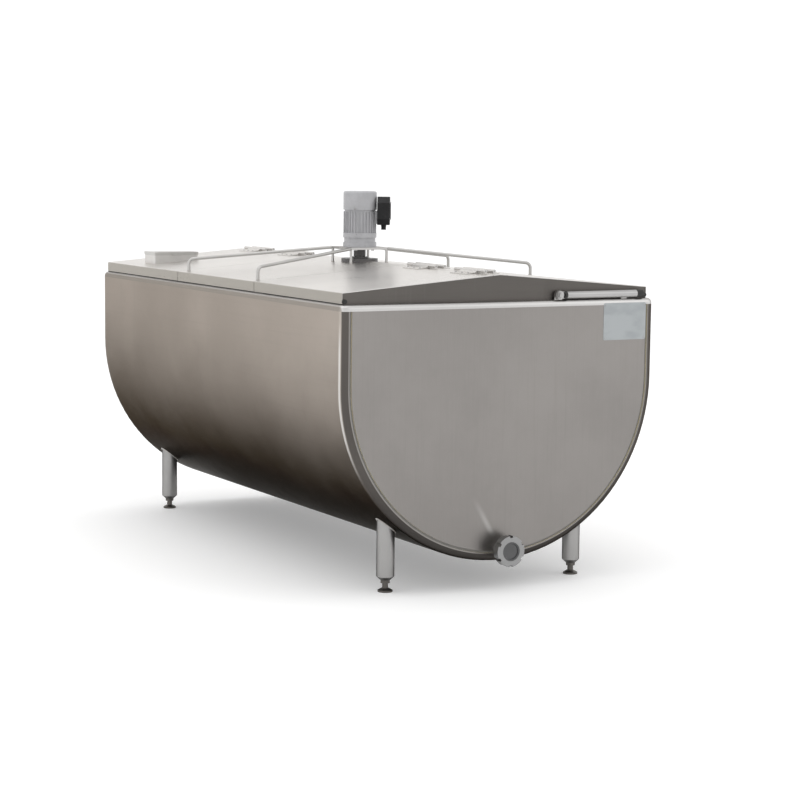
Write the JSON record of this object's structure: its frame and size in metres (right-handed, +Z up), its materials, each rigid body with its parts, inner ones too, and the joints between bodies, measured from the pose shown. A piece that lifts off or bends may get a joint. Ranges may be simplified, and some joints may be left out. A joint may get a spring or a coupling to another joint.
{
  "type": "half-round open milk cooling tank with hinged gable lid and top agitator",
  "caption": "Half-round stainless milk cooling tank on tube legs, with a shallow gabled lid, a top-mounted agitator motor on a stayed stand, a lid prop and a capped milk outlet.",
  "frame": {"origin": "on the floor, in the middle of the overall footprint", "axes": "+X towards the side on the viewer's right when facing the outlet end, +Y from the outlet end to the rear, +Z up"},
  "size_m": [1.2, 2.195, 1.306],
  "materials": {
    "brushed_shell": "brushed along the belly, satin",
    "brushed_plate": "fine brushed, satin",
    "brushed_rim": "fine brushed",
    "polished_roof": "bright rolled finish, soft reflections",
    "polished_vessel": "smooth rolled finish",
    "bright_steel": "turned and polished",
    "dark_steel": "dull, dark with grease",
    "dark_painted": "satin dark paint",
    "motor_paint": "smooth light grey paint",
    "black_plastic": "moulded, fine grain",
    "fan_plastic": "moulded",
    "black_rubber": "matt",
    "dark_sealant": "matt bead",
    "foam": "rigid foam",
    "copper": "drawn tube, dull"
  },
  "bodies": {
    "tank": {"outer_shell": "brushed_shell", "inner_vessel": "polished_vessel", "insulation_foam": "foam", "front_plate": "brushed_plate", "rear_plate": "brushed_plate", "end_seams": "dark_sealant", "evaporator_plate": "polished_vessel", "rim_frame": "brushed_rim", "rim_seals": "black_rubber", "gable_end_front": "dark_steel", "gable_end_rear": "dark_steel", "gable_buffers": "black_rubber", "bridge_beam_front": "brushed_rim", "bridge_beam_rear": "brushed_rim", "bridge_cover": "polished_roof", "ridge_beam_front": "polished_roof", "ridge_beam_rear": "polished_roof", "hinge_pins": "bright_steel", "base_flange": "dark_painted", "shaft_seal": "black_rubber", "motor_stand": "brushed_rim", "stay_front_left": "bright_steel", "stay_front_right": "bright_steel", "stay_rear_left": "bright_steel", "stay_rear_right": "bright_steel", "gear_housing": "motor_paint", "stand_bolts": "bright_steel", "motor_housing": "motor_paint", "fan_cowl": "motor_paint", "terminal_box": "black_plastic", "terminal_box_lid": "black_plastic", "cable_gland": "black_plastic", "outlet_pipe": "bright_steel", "suction_stub": "copper", "liquid_stub": "copper", "prop_bracket": "brushed_rim", "leg_front_left": "bright_steel", "leg_front_right": "bright_steel", "leg_rear_left": "bright_steel", "leg_rear_right": "bright_steel"},
    "lid_front_left": {"lid_front_left": "polished_roof"},
    "lid_front_right": {"lid_front_right": "polished_roof"},
    "lid_rear_left": {"lid_rear_left": "polished_roof", "fill_hatch_pins": "bright_steel"},
    "lid_rear_right": {"lid_rear_right": "polished_roof"},
    "fill_hatch": {"fill_hatch_lid": "polished_roof"},
    "agitator": {"agitator_shaft": "bright_steel", "agitator_paddle": "polished_vessel", "shaft_coupling": "dark_painted"},
    "motor_rotor": {"motor_fan": "fan_plastic"},
    "outlet_cap": {"outlet_blank_cap": "bright_steel", "outlet_gasket": "black_rubber"},
    "outlet_nut": {"outlet_union_nut": "bright_steel"},
    "prop": {"prop_stay": "bright_steel", "prop_tip": "black_rubber"},
    "foot_front_left": {"foot_front_left": "dark_steel"},
    "foot_front_right": {"foot_front_right": "dark_steel"},
    "foot_rear_left": {"foot_rear_left": "dark_steel"},
    "foot_rear_right": {"foot_rear_right": "dark_steel"}
  },
  "joints": [
    {"name": "lid_front_left_hinge", "type": "hinge", "parent": "tank", "child": "lid_front_left", "pos_m": [-0.017, -0.66475, 1.05655], "axis": [0, 1, 0], "range_deg": [0, 80]},
    {"name": "lid_front_right_hinge", "type": "hinge", "parent": "tank", "child": "lid_front_right", "pos_m": [0.017, -0.66475, 1.05655], "axis": [0, -1, 0], "range_deg": [0, 80]},
    {"name": "lid_rear_left_hinge", "type": "hinge", "parent": "tank", "child": "lid_rear_left", "pos_m": [-0.017, 0.71425, 1.05655], "axis": [0, 1, 0], "range_deg": [0, 80]},
    {"name": "lid_rear_right_hinge", "type": "hinge", "parent": "tank", "child": "lid_rear_right", "pos_m": [0.017, 0.71425, 1.05655], "axis": [0, -1, 0], "range_deg": [0, 80]},
    {"name": "fill_hatch_hinge", "type": "hinge", "parent": "lid_rear_left", "child": "fill_hatch", "pos_m": [-0.417, 0.8805, 1.043], "axis": [-1, 0, 0], "range_deg": [0, 100]},
    {"name": "agitator_spin", "type": "hinge", "parent": "tank", "child": "agitator", "pos_m": [0, 0.0095, 1], "axis": [0, 0, 1], "continuous": true},
    {"name": "motor_spin", "type": "hinge", "parent": "tank", "child": "motor_rotor", "pos_m": [0, 0.0095, 1.26], "axis": [0, 0, 1], "continuous": true},
    {"name": "outlet_cap_slide", "type": "slide", "parent": "tank", "child": "outlet_cap", "axis": [0, -1, 0], "range_m": [0, 0.08]},
    {"name": "outlet_nut_turn", "type": "hinge", "parent": "outlet_cap", "child": "outlet_nut", "pos_m": [0, -1.0825, 0.139], "axis": [0, -1, 0], "continuous": true},
    {"name": "prop_hinge", "type": "hinge", "parent": "tank", "child": "prop", "pos_m": [0.222, -1.0125, 0.978], "axis": [0, -1, 0], "range_deg": [0, 80]},
    {"name": "foot_front_left_screw", "type": "slide", "parent": "tank", "child": "foot_front_left", "axis": [0, 0, -1], "range_m": [0, 0.03]},
    {"name": "foot_front_right_screw", "type": "slide", "parent": "tank", "child": "foot_front_right", "axis": [0, 0, -1], "range_m": [0, 0.03]},
    {"name": "foot_rear_left_screw", "type": "slide", "parent": "tank", "child": "foot_rear_left", "axis": [0, 0, -1], "range_m": [0, 0.03]},
    {"name": "foot_rear_right_screw", "type": "slide", "parent": "tank", "child": "foot_rear_right", "axis": [0, 0, -1], "range_m": [0, 0.03]}
  ],
  "couplings": [
    {"joint": "motor_spin", "follows": "agitator_spin", "ratio": 47}
  ]
}
